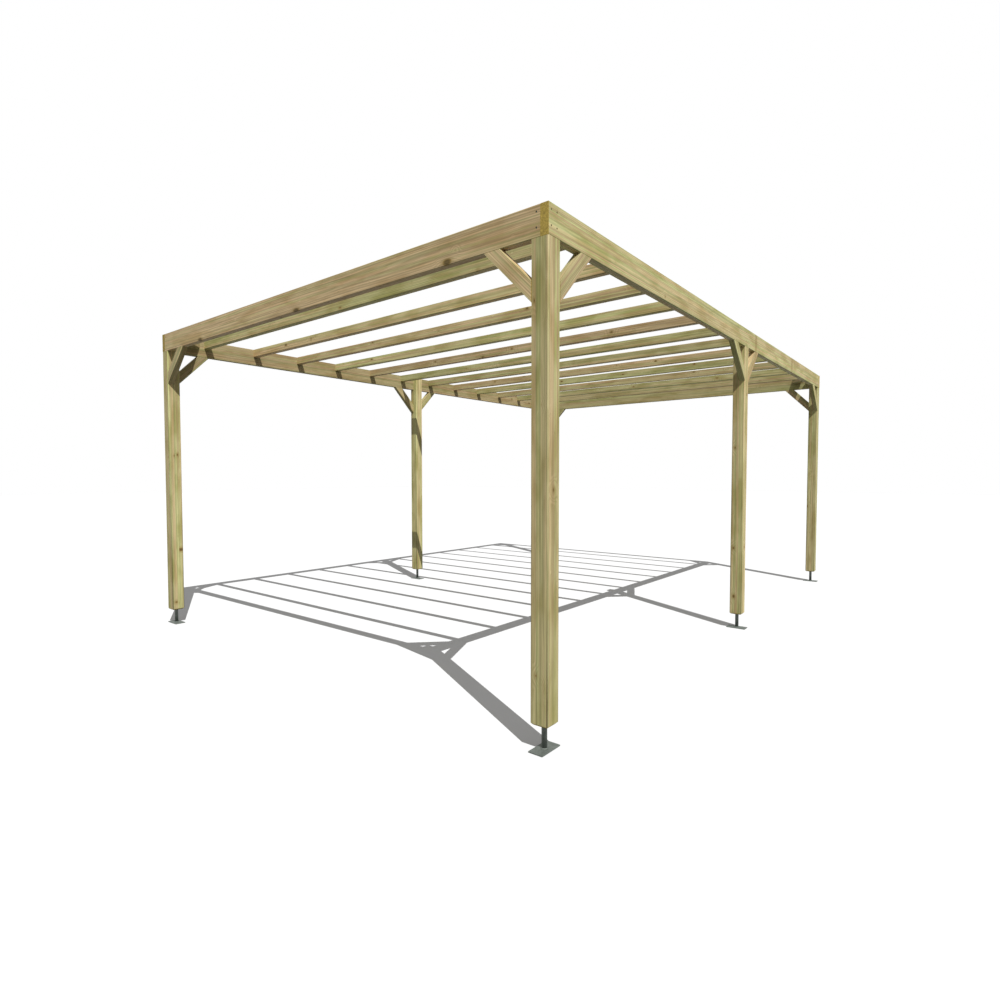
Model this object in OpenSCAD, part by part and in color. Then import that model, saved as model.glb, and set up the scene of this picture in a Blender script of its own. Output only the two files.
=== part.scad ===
// Freestanding garden pergola in planed, pressure-treated pine.
// Six square posts stand on steel feet and carry a rim of four beams.
// Rafters span the short way between the two side beams. A 45 degree brace
// stiffens every corner between a post and a beam, and a flat one lies
// across each corner of the rim.
// Frame: the origin is on the ground at the middle of the footprint.
// X runs across (left to right), Y runs along (front to back), Z is up.
// All sizes are in millimetres.

/* [Overall] */
// Width over the outer faces of the posts, across
frame_w = 3960; // [2600:10:5200]
// Length over the outer faces of the posts, along
frame_l = 5815; // [4200:10:7200]
// Height of the beam tops above the ground
frame_h = 2475; // [2000:5:3000]

/* [Posts] */
// Side of the square posts
post_side = 95; // [80:1:120]
// Radius of the eased long edges of the posts
post_ease = 6; // [1:0.5:8]
// Height of the underside of a post above the ground
post_lift = 120; // [60:5:200]

/* [Beams] */
// Thickness of the four rim beams, and the depth of the rebates that hold them
beam_t = 45; // [35:1:55]
// Height of the four rim beams
beam_h = 145; // [110:1:200]

/* [Rafters] */
// Thickness of a rafter
rafter_t = 45; // [30:1:60]
// Height of a rafter
rafter_h = 70; // [50:1:105]
// Distance from the outer face of an end beam to the middle of the nearest rafter
rafter_inset = 354; // [250:5:450]

/* [Braces] */
// Thickness of a brace, measured across its face
brace_t = 45; // [30:1:60]
// Depth of a brace, square to its length and in its own plane
brace_h = 70; // [45:1:100]
// Clear leg of the triangle between a post, a beam and a brace
brace_leg = 180; // [120:5:300]
// Clear leg of the triangle between two beams and the flat brace of a corner
corner_leg = 148; // [110:1:200]

/* [Feet] */
// Long side of a foot plate
plate_l = 150; // [110:5:200]
// Short side of a foot plate
plate_w = 80; // [60:5:120]
// Thickness of a foot plate
plate_t = 6; // [3:0.5:10]
// Diameter of the round stem between a foot plate and a post
stem_d = 27; // [20:1:42]
// Length of stem that is hidden inside a post
stem_in = 110; // [60:5:180]
// Gap all round between the stem and its bore in the post
stem_gap = 0.5; // [0.2:0.1:1.5]

/* [Hidden] */
// Facets of a round bore, stem or eased edge
round_fn = 32;
// Number of rafters, an even number so that none stands at the middle posts
rafter_n = 12;
// How far a cutting shape runs past the face that it cuts
cut_over = 1;

// Outer faces of the frame
x_out = frame_w / 2;
y_out = frame_l / 2;
// Middles of the posts
post_x = x_out - post_side / 2;
post_y = y_out - post_side / 2;
// Undersides of the beams and the rafters
beam_z = frame_h - beam_h;
rafter_z = frame_h - rafter_h;
// Pitch of the rafters along the frame
rafter_step = (frame_l - 2 * rafter_inset) / (rafter_n - 1);
// Outer leg of a brace along the post and along the beam
brace_reach = brace_leg + brace_h * sqrt(2);
// Legs of a corner brace from the inner corner of the beams; it stays clear
// of the tongue that the rebates leave at the top of a corner post
corner_in = max(corner_leg, 2 * (post_side - beam_t) + cut_over);
corner_reach = corner_in + brace_h * sqrt(2);

// A square with rounded corners, centred
module eased_square(side, ease) {
    square([side - 2 * ease, side], center = true);
    square([side, side - 2 * ease], center = true);
    for (i = [-1, 1], j = [-1, 1])
        translate([i * (side / 2 - ease), j * (side / 2 - ease)])
            circle(r = ease, $fn = round_fn);
}

// A post with its bore for the stem, before the rebates are cut
module post_blank() {
    difference() {
        translate([0, 0, post_lift])
            linear_extrude(frame_h - post_lift)
                eased_square(post_side, post_ease);
        translate([0, 0, post_lift - cut_over])
            cylinder(d = stem_d + 2 * stem_gap, h = stem_in + cut_over, $fn = round_fn);
    }
}

// The block cut from the top of a post so that a beam lies flush with the
// post's outer face; side_x and side_y are -1, 0 or 1 towards that face
module rebate(side_x, side_y) {
    reach = post_side / 2 - beam_t;
    block = post_side + 2 * cut_over;
    translate([side_x * (reach + block / 2) - block / 2,
               side_y * (reach + block / 2) - block / 2, beam_z])
        cube([block, block, beam_h + cut_over]);
}

// A corner post, rebated for the side beam and for the end beam
module corner_post(side_x, side_y) {
    color("darkkhaki")
        translate([side_x * post_x, side_y * post_y, 0])
            difference() {
                post_blank();
                rebate(side_x, 0);
                rebate(0, side_y);
            }
}

// A middle post, rebated for the side beam only
module middle_post(side_x) {
    color("darkkhaki")
        translate([side_x * post_x, 0, 0])
            difference() {
                post_blank();
                rebate(side_x, 0);
            }
}

// A steel foot: a flat plate on the ground and a stem up into the post;
// turned stands the long side of the plate along the frame
module foot(px, py, turned) {
    plate_x = turned ? plate_w : plate_l;
    plate_y = turned ? plate_l : plate_w;
    color("dimgray")
        translate([px, py, 0]) {
            translate([-plate_x / 2, -plate_y / 2, 0])
                cube([plate_x, plate_y, plate_t]);
            cylinder(d = stem_d, h = post_lift + stem_in, $fn = round_fn);
        }
}

// An end beam, at the front (-1) or the back (1); the front one fits between
// the side beams and the back one covers their ends
module end_beam(side_y) {
    run = side_y < 0 ? frame_w - 2 * beam_t : frame_w;
    color("tan")
        translate([-run / 2, side_y * (y_out - beam_t / 2) - beam_t / 2, beam_z])
            cube([run, beam_t, beam_h]);
}

// A side beam, from the front face of the frame to the back beam
module side_beam(side_x) {
    color("khaki")
        translate([side_x * (x_out - beam_t / 2) - beam_t / 2, -y_out, beam_z])
            cube([beam_t, frame_l - beam_t, beam_h]);
}

// Rafter number i, counted from the front
module rafter(i) {
    run = frame_w - 2 * beam_t;
    mid_y = -y_out + rafter_inset + (i - 1) * rafter_step;
    color("burlywood")
        translate([-run / 2, mid_y - rafter_t / 2, rafter_z])
            cube([run, rafter_t, rafter_h]);
}

// A brace in the XZ plane under a beam that runs to +X from a post's inner
// face at the origin; its outer face lies on the XZ plane and it grows to +Y
module brace_blank() {
    rotate([90, 0, 0])
        translate([0, 0, -brace_t])
            linear_extrude(brace_t)
                polygon([[0, -brace_reach], [brace_reach, 0], [brace_leg, 0],
                         [0, -brace_leg]]);
}

// A brace across the frame, between a corner post and an end beam
module cross_brace(side_x, side_y) {
    color("tan")
        translate([side_x * (x_out - post_side), side_y * y_out, beam_z])
            mirror([side_x > 0 ? 1 : 0, 0, 0])
                mirror([0, side_y > 0 ? 1 : 0, 0])
                    brace_blank();
}

// A brace along the frame, between a post and a side beam; toward is the way
// it leans from the post's face at face_y, -1 to the front or 1 to the back
module side_brace(side_x, face_y, toward) {
    color("khaki")
        translate([side_x * x_out, face_y, beam_z])
            mirror([side_x > 0 ? 1 : 0, 0, 0])
                mirror([0, toward < 0 ? 1 : 0, 0])
                    mirror([1, -1, 0])
                        brace_blank();
}

// A flat brace across a corner of the rim, between a side beam and an end
// beam, with its underside level with those of the rafters
module corner_brace(side_x, side_y) {
    color("tan")
        translate([side_x * (x_out - beam_t), side_y * (y_out - beam_t), rafter_z])
            mirror([side_x > 0 ? 1 : 0, 0, 0])
                mirror([0, side_y > 0 ? 1 : 0, 0])
                    linear_extrude(brace_t)
                        polygon([[corner_in, 0], [corner_reach, 0],
                                 [0, corner_reach], [0, corner_in]]);
}

corner_post(-1, -1);  // front_left_post
corner_post(1, -1);  // front_right_post
middle_post(-1);  // middle_left_post
middle_post(1);  // middle_right_post
corner_post(-1, 1);  // back_left_post
corner_post(1, 1);  // back_right_post

foot(-post_x, -post_y, false);  // front_left_foot
foot(post_x, -post_y, true);  // front_right_foot
foot(-post_x, 0, false);  // middle_left_foot
foot(post_x, 0, false);  // middle_right_foot
foot(-post_x, post_y, true);  // back_left_foot
foot(post_x, post_y, false);  // back_right_foot

end_beam(-1);  // front_beam
end_beam(1);  // back_beam
side_beam(-1);  // left_beam
side_beam(1);  // right_beam

rafter(1);  // rafter_01
rafter(2);  // rafter_02
rafter(3);  // rafter_03
rafter(4);  // rafter_04
rafter(5);  // rafter_05
rafter(6);  // rafter_06
rafter(7);  // rafter_07
rafter(8);  // rafter_08
rafter(9);  // rafter_09
rafter(10);  // rafter_10
rafter(11);  // rafter_11
rafter(12);  // rafter_12

cross_brace(-1, -1);  // front_left_cross_brace
cross_brace(1, -1);  // front_right_cross_brace
cross_brace(-1, 1);  // back_left_cross_brace
cross_brace(1, 1);  // back_right_cross_brace

side_brace(-1, post_side - y_out, 1);  // front_left_side_brace
side_brace(1, post_side - y_out, 1);  // front_right_side_brace
side_brace(-1, -post_side / 2, -1);  // middle_left_fore_brace
side_brace(-1, post_side / 2, 1);  // middle_left_aft_brace
side_brace(1, -post_side / 2, -1);  // middle_right_fore_brace
side_brace(1, post_side / 2, 1);  // middle_right_aft_brace
side_brace(-1, y_out - post_side, -1);  // back_left_side_brace
side_brace(1, y_out - post_side, -1);  // back_right_side_brace

corner_brace(-1, -1);  // front_left_corner_brace
corner_brace(1, -1);  // front_right_corner_brace
corner_brace(-1, 1);  // back_left_corner_brace
corner_brace(1, 1);  // back_right_corner_brace
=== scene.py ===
"""Looks of a freestanding garden pergola in planed, pressure-treated pine.

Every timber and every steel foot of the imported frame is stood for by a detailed
piece of the same size. All lengths are in metres unless a name ends in _mm.
The frame has X across, Y along (front to back) and Z up.
"""

from __future__ import annotations

import logging
import math
from collections.abc import Callable, Sequence
from dataclasses import dataclass, field
from enum import Enum
from random import Random

import bmesh
import bpy
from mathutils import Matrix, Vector

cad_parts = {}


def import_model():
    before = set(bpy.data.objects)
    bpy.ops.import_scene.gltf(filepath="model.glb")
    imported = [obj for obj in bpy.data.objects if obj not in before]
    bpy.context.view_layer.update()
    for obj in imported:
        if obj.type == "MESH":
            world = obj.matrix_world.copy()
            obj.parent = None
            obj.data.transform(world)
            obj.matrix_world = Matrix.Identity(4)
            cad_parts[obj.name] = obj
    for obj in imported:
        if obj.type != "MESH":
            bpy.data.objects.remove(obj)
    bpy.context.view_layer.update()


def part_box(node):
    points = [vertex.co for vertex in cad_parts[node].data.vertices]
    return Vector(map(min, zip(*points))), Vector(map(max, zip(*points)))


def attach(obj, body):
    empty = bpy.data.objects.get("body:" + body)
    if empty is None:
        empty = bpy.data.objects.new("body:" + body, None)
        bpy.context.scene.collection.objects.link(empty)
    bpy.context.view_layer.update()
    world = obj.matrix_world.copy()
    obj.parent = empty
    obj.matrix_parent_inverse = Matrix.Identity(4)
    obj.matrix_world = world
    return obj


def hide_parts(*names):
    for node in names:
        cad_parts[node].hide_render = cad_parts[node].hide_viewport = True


LOG = logging.getLogger("pergola")
BODY = "root"
MM = 0.001
STEM_RADIUS = 13.5 * MM

Ring = list[Vector]


# --------------------------------------------------------------------------- tools


def linear(code: str, alpha: float = 1.0) -> tuple[float, float, float, float]:
    """Turns an sRGB hex colour into linear light.

    Args:
        code: The colour, such as "#c8ab80".
        alpha: The fourth channel.

    Returns:
        Red, green, blue and alpha.
    """
    parts = [int(code[i : i + 2], 16) / 255 for i in (1, 3, 5)]
    low, knee = 12.92, 0.04045
    r, g, b = [c / low if c <= knee else ((c + 0.055) / 1.055) ** 2.4 for c in parts]
    return (r, g, b, alpha)


def add_node(
    tree: bpy.types.NodeTree,
    kind: str,
    inputs: dict | None = None,
    stops: Sequence[tuple[float, str]] = (),
    **settings: object,
) -> bpy.types.Node:
    """Adds a node with its settings and links.

    Args:
        tree: The node tree that gets the node.
        kind: The node's type.
        inputs: A value or an output socket for each input, by name or number.
        stops: The places and colours of a colour ramp.
        **settings: The node's own properties.

    Returns:
        The new node.
    """
    node = tree.nodes.new(kind)
    for name, value in settings.items():
        setattr(node, name, value)
    for key, value in (inputs or {}).items():
        if isinstance(value, bpy.types.NodeSocket):
            tree.links.new(value, node.inputs[key])
        else:
            node.inputs[key].default_value = value
    if stops:
        elements = node.color_ramp.elements
        while len(elements) < len(stops):
            elements.new(0.5)
        for element, (place, code) in zip(elements, stops):
            element.position, element.color = place, linear(code)
    return node


def new_material(name: str) -> tuple[bpy.types.Material, bpy.types.NodeTree]:
    """Makes an empty node material.

    Args:
        name: The material's name.

    Returns:
        The material and its cleared node tree.
    """
    material = bpy.data.materials.new(name)
    material.use_nodes = True
    material.node_tree.nodes.clear()
    return material, material.node_tree


def eased_rectangle(
    wide: float, high: float, ease: float, steps: int
) -> list[tuple[float, float]]:
    """Outlines a rectangle with rounded corners, centred, anticlockwise.

    Args:
        wide: Size along the first axis.
        high: Size along the second axis.
        ease: Radius of the corners.
        steps: Straight pieces in each corner.

    Returns:
        The outline's points.
    """
    points = []
    signs = ((1, 1), (-1, 1), (-1, -1), (1, -1))
    for quarter, (i, j) in enumerate(signs):
        for step in range(steps + 1):
            turn = math.pi / 2 * (quarter + step / steps)
            points.append(
                (
                    i * (wide / 2 - ease) + ease * math.cos(turn),
                    j * (high / 2 - ease) + ease * math.sin(turn),
                )
            )
    return points


def loft(name: str, rings: Sequence[Ring]) -> bpy.types.Mesh:
    """Skins a row of closed rings and caps both ends, facing outwards.

    Args:
        name: The mesh's name.
        rings: Rings of equally many points each.

    Returns:
        The closed mesh.
    """
    shape = bmesh.new()
    rows = [[shape.verts.new(point) for point in ring] for ring in rings]
    count = len(rows[0])
    for below, above in zip(rows, rows[1:]):
        for i in range(count):
            j = (i + 1) % count
            shape.faces.new((below[i], below[j], above[j], above[i]))
    shape.faces.new(rows[0])
    shape.faces.new(rows[-1])
    bmesh.ops.recalc_face_normals(shape, faces=shape.faces)
    mesh = bpy.data.meshes.new(name)
    shape.to_mesh(mesh)
    shape.free()
    return mesh


def join_meshes(name: str, meshes: Sequence[bpy.types.Mesh]) -> bpy.types.Mesh:
    """Puts several meshes into one, and discards them.

    Args:
        name: The joined mesh's name.
        meshes: The meshes to join.

    Returns:
        The joined mesh.
    """
    shape = bmesh.new()
    for mesh in meshes:
        shape.from_mesh(mesh)
        bpy.data.meshes.remove(mesh)
    joined = bpy.data.meshes.new(name)
    shape.to_mesh(joined)
    shape.free()
    return joined


def evaluated(obj: bpy.types.Object) -> bpy.types.Mesh:
    """Turns an object with live modifiers into a plain mesh, and discards it.

    Args:
        obj: The object.

    Returns:
        Its final mesh.
    """
    bpy.context.view_layer.update()
    graph = bpy.context.evaluated_depsgraph_get()
    mesh = bpy.data.meshes.new_from_object(obj.evaluated_get(graph))
    source = obj.data
    bpy.data.objects.remove(obj)
    bpy.data.meshes.remove(source)
    return mesh


def show(name: str, mesh: bpy.types.Mesh) -> bpy.types.Object:
    """Makes an object for a mesh and links it to the scene.

    Args:
        name: The object's name.
        mesh: Its mesh.

    Returns:
        The object, at the origin.
    """
    obj = bpy.data.objects.new(name, mesh)
    bpy.context.scene.collection.objects.link(obj)
    return obj


def carve(
    mesh: bpy.types.Mesh, cutters: Sequence[bpy.types.Mesh]
) -> bpy.types.Mesh:
    """Cuts closed shapes out of a mesh.

    Args:
        mesh: The mesh to cut.
        cutters: The shapes that are taken away.

    Returns:
        The cut mesh.
    """
    if not cutters:
        return mesh
    name = mesh.name
    body = show("body", mesh)
    tool = show("tool", join_meshes("tool", cutters))
    cut = body.modifiers.new("cut", "BOOLEAN")
    cut.operation, cut.solver, cut.object = "DIFFERENCE", "EXACT", tool
    result = evaluated(body)
    tool_mesh = tool.data
    bpy.data.objects.remove(tool)
    bpy.data.meshes.remove(tool_mesh)
    result.name = name
    return result


def block(low: Sequence[float], high: Sequence[float]) -> bpy.types.Mesh:
    """Makes a plain block to cut with.

    Args:
        low: Its lowest corner.
        high: Its highest corner.

    Returns:
        The mesh.
    """
    (x0, y0, z0), (x1, y1, z1) = low, high
    square = ((x0, y0), (x1, y0), (x1, y1), (x0, y1))
    return loft("block", [[Vector((x, y, z)) for x, y in square] for z in (z0, z1)])


def round_bar(
    start: Vector, end: Vector, radius: float, facets: int = 24
) -> bpy.types.Mesh:
    """Makes a round bar between two points.

    Args:
        start: Middle of the first end.
        end: Middle of the second end.
        radius: The bar's radius.
        facets: Sides round the bar.

    Returns:
        The mesh.
    """
    axis = (end - start).normalized()
    side = axis.orthogonal().normalized()
    across = axis.cross(side)
    turns = [2 * math.pi * i / facets for i in range(facets)]
    rim = [(side * math.cos(t) + across * math.sin(t)) * radius for t in turns]
    return loft("bar", [[at + offset for offset in rim] for at in (start, end)])


def hang_up(obj: bpy.types.Object, slot: str, *nodes: str) -> None:
    """Declares a finished piece to the frame.

    Args:
        obj: The piece.
        slot: The record's material slot.
        *nodes: The CAD nodes that the piece stands for.
    """
    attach(obj, BODY)
    if nodes:
        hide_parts(*nodes)
    LOG.info("%s: %d faces, slot %s", obj.name, len(obj.data.polygons), slot)


# ------------------------------------------------------------------------ finishes


@dataclass(frozen=True)
class Knot:
    """A knot that sits at a known place of one timber.

    Attributes:
        centre: Its middle in the frame.
        radius_mm: How far its dark heart reaches.
        stretch: How much longer it is than round, along X, Y and Z.
    """

    centre: tuple[float, float, float]
    radius_mm: float
    stretch: tuple[float, float, float] = (1.0, 1.0, 1.0)


KNOTS = (
    Knot((1.365, -2.9075, 2.345), 15.0, (2.0, 1.0, 1.1)),
    Knot((0.026, -2.9075, 2.337), 15.0, (2.2, 1.0, 0.9)),
    Knot((-1.298, -2.9075, 2.337), 16.0, (2.2, 1.0, 1.0)),
    Knot((1.98, 0.25, 2.40), 4.0, (1.0, 2.2, 15.0)),
    Knot((1.98, 1.525, 2.40), 4.0, (1.0, 2.2, 15.0)),
    Knot((1.98, -1.652, 2.352), 4.0),
    Knot((1.122, -0.719, 2.445), 7.0, (1.6, 1.0, 1.0)),
    Knot((0.099, -0.719, 2.445), 7.0, (1.6, 1.0, 1.0)),
    Knot((-0.892, -0.719, 2.445), 7.0, (1.6, 1.0, 1.0)),
    Knot((1.04, 2.067, 2.44), 7.0, (1.6, 1.0, 1.0)),
    Knot((-0.038, 2.067, 2.44), 7.0, (1.6, 1.0, 1.0)),
)


@dataclass(frozen=True)
class TreatedPine:
    """Planed pine, pressure-treated with a copper preservative.

    The sapwood has taken the salts and reads yellow-green, the heartwood stays a
    pinkish tan, and the two run in long streaks. Latewood lines are olive-brown,
    knots are brown, sawn ends are ochre, and the planed faces are dull satin.
    """

    name: str = "planed pressure-treated pine"
    sapwood: str = "#b9b781"
    sapwood_deep: str = "#9c9b5f"
    heartwood: str = "#cab188"
    heartwood_deep: str = "#b5986d"
    latewood: str = "#857a45"
    knot_heart: str = "#5f4f2b"
    knot_rim: str = "#8b7442"
    sawn_end: str = "#d0b559"
    sawn_end_deep: str = "#9b833d"
    roughness: float = 0.72
    ring_mm: float = 5.5
    streak_mm: tuple[float, float, float] = (2600.0, 19.0, 19.0)
    blotch_mm: tuple[float, float, float] = (260.0, 70.0, 70.0)
    fibre_mm: tuple[float, float, float] = (110.0, 2.2, 2.2)
    vein_mm: tuple[float, float, float] = (1800.0, 7.0, 7.0)
    wander_mm: tuple[float, float, float] = (1100.0, 110.0, 110.0)
    bend_mm: float = 18.0
    whorl_mm: float = 420.0
    knots: tuple[Knot, ...] = ()

    def _noise(
        self,
        tree: bpy.types.NodeTree,
        vector: bpy.types.NodeSocket,
        size_mm: tuple[float, float, float],
        output: str = "Fac",
        **inputs: float,
    ) -> bpy.types.NodeSocket:
        """Adds a noise whose features have a real size along each axis.

        Args:
            tree: The material's tree.
            vector: Coordinates in millimetres.
            size_mm: Size of a feature along, across and through the grain.
            output: The noise's output.
            **inputs: Further inputs of the noise.

        Returns:
            The output socket.
        """
        scaled = add_node(
            tree,
            "ShaderNodeMapping",
            {"Vector": vector, "Scale": [1 / s for s in size_mm]},
        )
        values = {"Vector": scaled.outputs[0], "Scale": 1.0, "Detail": 2.0} | inputs
        return add_node(tree, "ShaderNodeTexNoise", values).outputs[output]

    def _vector(
        self, tree: bpy.types.NodeTree, operation: str, *values: object
    ) -> bpy.types.Node:
        """Adds a vector sum and returns its node."""
        inputs = dict(enumerate(values))
        return add_node(tree, "ShaderNodeVectorMath", inputs, operation=operation)

    def _sum(
        self, tree: bpy.types.NodeTree, operation: str, *values: object
    ) -> bpy.types.NodeSocket:
        """Adds a sum and returns its output."""
        inputs = dict(enumerate(values))
        node = add_node(tree, "ShaderNodeMath", inputs, operation=operation)
        return node.outputs[0]

    def _fade(
        self,
        tree: bpy.types.NodeTree,
        value: bpy.types.NodeSocket,
        ends: tuple[float, float],
        result: tuple[float, float] = (0.0, 1.0),
    ) -> bpy.types.NodeSocket:
        """Adds a smooth fade between two values.

        Args:
            tree: The material's tree.
            value: What is faded.
            ends: Where the fade starts and ends.
            result: What comes out at those ends.

        Returns:
            The output socket.
        """
        inputs = {
            "Value": value,
            "From Min": ends[0],
            "From Max": ends[1],
            "To Min": result[0],
            "To Max": result[1],
        }
        node = add_node(
            tree, "ShaderNodeMapRange", inputs, interpolation_type="SMOOTHSTEP"
        )
        return node.outputs["Result"]

    def _mix(
        self,
        tree: bpy.types.NodeTree,
        share: object,
        first: object,
        second: object,
        blend: str = "MIX",
    ) -> bpy.types.NodeSocket:
        """Adds a colour mix.

        Args:
            tree: The material's tree.
            share: How much of the second colour is used.
            first: The first colour.
            second: The second colour.
            blend: The kind of mix.

        Returns:
            The mixed colour's socket.
        """
        node = add_node(
            tree,
            "ShaderNodeMix",
            {0: share, 6: first, 7: second},
            data_type="RGBA",
            blend_type=blend,
        )
        return node.outputs[2]

    def _knot_distance(
        self,
        tree: bpy.types.NodeTree,
        grain: bpy.types.NodeSocket,
        radius: bpy.types.NodeSocket,
    ) -> bpy.types.NodeSocket:
        """Works out how far a point is from the rim of the nearest knot.

        Knots grow outwards from the pith, so each is a place along the trunk and
        a direction from its middle.

        Args:
            tree: The material's tree.
            grain: Board coordinates, in millimetres from the pith.
            radius: Distance from the pith, in millimetres.

        Returns:
            The distance in millimetres, below zero inside a knot.
        """
        around = 1.15
        flat = self._vector(tree, "MULTIPLY", grain, (0.0, 1.0, 1.0)).outputs[0]
        aim = self._vector(tree, "NORMALIZE", flat).outputs[0]
        ring = self._vector(tree, "MULTIPLY", aim, (0.0, around, around)).outputs[0]
        along = self._vector(
            tree, "MULTIPLY", grain, (1 / self.whorl_mm, 0.0, 0.0)
        ).outputs[0]
        place = self._vector(tree, "ADD", along, ring).outputs[0]
        cell = add_node(
            tree, "ShaderNodeTexVoronoi", {"Vector": place, "Scale": 1.0}
        )
        centre = cell.outputs["Position"]
        apart = self._vector(tree, "SUBTRACT", place, centre).outputs[0]
        run = self._vector(
            tree, "MULTIPLY", apart, (self.whorl_mm / 1.6, 0.0, 0.0)
        ).outputs[0]
        middle = self._vector(tree, "MULTIPLY", centre, (0.0, 1.0, 1.0)).outputs[0]
        toward = self._vector(tree, "NORMALIZE", middle).outputs[0]
        chord = self._vector(tree, "SUBTRACT", aim, toward).outputs[0]
        arc = self._vector(tree, "SCALE", chord)
        tree.links.new(radius, arc.inputs["Scale"])
        offset = self._vector(tree, "ADD", run, arc.outputs[0]).outputs[0]
        distance = self._vector(tree, "LENGTH", offset).outputs["Value"]
        chance = add_node(
            tree, "ShaderNodeSeparateColor", {0: cell.outputs["Color"]}
        ).outputs[0]
        size = self._fade(tree, chance, (0.62, 1.0), (-30.0, 10.0))
        nearest = self._sum(tree, "SUBTRACT", distance, size)
        spot = add_node(tree, "ShaderNodeTexCoord").outputs["Object"]
        for knot in self.knots:
            gap = self._vector(tree, "SUBTRACT", spot, knot.centre).outputs[0]
            squeezed = self._vector(
                tree, "DIVIDE", gap, [s * MM for s in knot.stretch]
            ).outputs[0]
            far = self._vector(tree, "LENGTH", squeezed).outputs["Value"]
            rim = self._sum(tree, "SUBTRACT", far, knot.radius_mm)
            nearest = self._sum(tree, "MINIMUM", nearest, rim)
        return nearest

    def build(self) -> bpy.types.Material:
        """Builds the material.

        It reads "grain", millimetres along, across and through the board from its
        pith; "board", the heartwood share and the tone of one board; and "end",
        which is 1 on sawn ends and 0.5 on eased edges.

        Returns:
            The material.
        """
        material, tree = new_material(self.name)
        grain, board, end = [
            add_node(tree, "ShaderNodeAttribute", attribute_name=name)
            for name in ("grain", "board", "end")
        ]
        grain = grain.outputs["Vector"]
        tan, tone, _ = add_node(
            tree, "ShaderNodeSeparateXYZ", {0: board.outputs["Vector"]}
        ).outputs
        end = end.outputs["Fac"]
        sawn = self._fade(tree, end, (0.6, 0.9))
        eased = self._fade(tree, end, (0.1, 0.4))

        # The trunk bends and swells, which draws arches on flat-sawn faces.
        wander = self._noise(tree, grain, self.wander_mm, "Color")
        centred = self._vector(tree, "SUBTRACT", wander, (0.5, 0.5, 0.5)).outputs[0]
        shift = self._vector(tree, "MULTIPLY", centred, (0.0, self.bend_mm, self.bend_mm)).outputs[0]
        bent = self._vector(tree, "ADD", grain, shift).outputs[0]
        flat = self._vector(tree, "MULTIPLY", bent, (0.0, 1.0, 1.0)).outputs[0]
        radius = self._vector(tree, "LENGTH", flat).outputs["Value"]

        # Knots, and the grain that flows round them.
        from_knot = self._knot_distance(tree, grain, radius)
        flow = self._fade(tree, from_knot, (0.0, 42.0), (13.0, 0.0))
        knot = self._fade(tree, from_knot, (1.5, -1.0))
        halo = self._fade(tree, from_knot, (16.0, 0.0))
        heart = self._fade(tree, from_knot, (-1.0, -7.0))

        # Growth rings: pale earlywood that darkens to a crisp latewood line.
        # They are drawn a little coarser than real ones, so that they show.
        swollen = self._sum(tree, "ADD", radius, flow)
        uneven = add_node(
            tree,
            "ShaderNodeTexNoise",
            {"W": self._sum(tree, "DIVIDE", swollen, 23.0), "Scale": 1.0},
            noise_dimensions="1D",
        ).outputs["Fac"]
        stepped = self._sum(tree, "MULTIPLY_ADD", uneven, 16.0, swollen)
        turn = self._sum(tree, "FRACT", self._sum(tree, "DIVIDE", stepped, self.ring_mm))
        late = add_node(
            tree,
            "ShaderNodeValToRGB",
            {0: turn},
            [(0.0, "#404040"), (0.3, "#000000"), (0.84, "#ffffff"), (1.0, "#404040")],
        ).outputs[0]

        # Streaks of heartwood and sapwood, blotches of uptake, and fibres.
        streak = self._noise(tree, bent, self.streak_mm, Roughness=0.6)
        stripe = self._fade(tree, streak, (0.36, 0.64), (-0.5, 0.5))
        share = self._sum(tree, "ADD", stripe, tan)
        share = add_node(tree, "ShaderNodeClamp", {0: share}).outputs[0]
        blotch = self._noise(tree, grain, self.blotch_mm, Detail=3.0)
        deep = self._fade(tree, blotch, (0.38, 0.68))
        fibre = self._noise(tree, grain, self.fibre_mm, Detail=3.0)
        vein = self._noise(tree, bent, self.vein_mm, Detail=3.0)

        sap = self._mix(tree, deep, linear(self.sapwood), linear(self.sapwood_deep))
        core = self._mix(
            tree, deep, linear(self.heartwood), linear(self.heartwood_deep)
        )
        colour = self._mix(tree, share, sap, core)
        ring_share = self._sum(tree, "MULTIPLY", late, 0.42)
        colour = self._mix(tree, ring_share, colour, linear(self.latewood))
        halo_share = self._sum(tree, "MULTIPLY", halo, 0.45)
        colour = self._mix(tree, halo_share, colour, linear(self.knot_rim))
        ends = self._mix(tree, late, linear(self.sawn_end), linear(self.sawn_end_deep))
        colour = self._mix(tree, sawn, colour, ends)
        knotty = self._mix(tree, heart, linear(self.knot_rim), linear(self.knot_heart))
        colour = self._mix(tree, knot, colour, knotty)
        light = self._fade(tree, fibre, (0.25, 0.75), (0.86, 1.12))
        light = self._sum(tree, "MULTIPLY", light, tone)
        streaky = self._fade(tree, vein, (0.33, 0.67), (0.80, 1.18))
        light = self._sum(tree, "MULTIPLY", light, streaky)
        # Eased edges and sawn ends are drawn a fifth darker.
        edge_darkening = self._sum(tree, "MULTIPLY_ADD", eased, -0.2, 1.0)
        light = self._sum(tree, "MULTIPLY", light, edge_darkening)
        lit = self._vector(tree, "SCALE", colour)
        tree.links.new(light, lit.inputs["Scale"])

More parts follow.
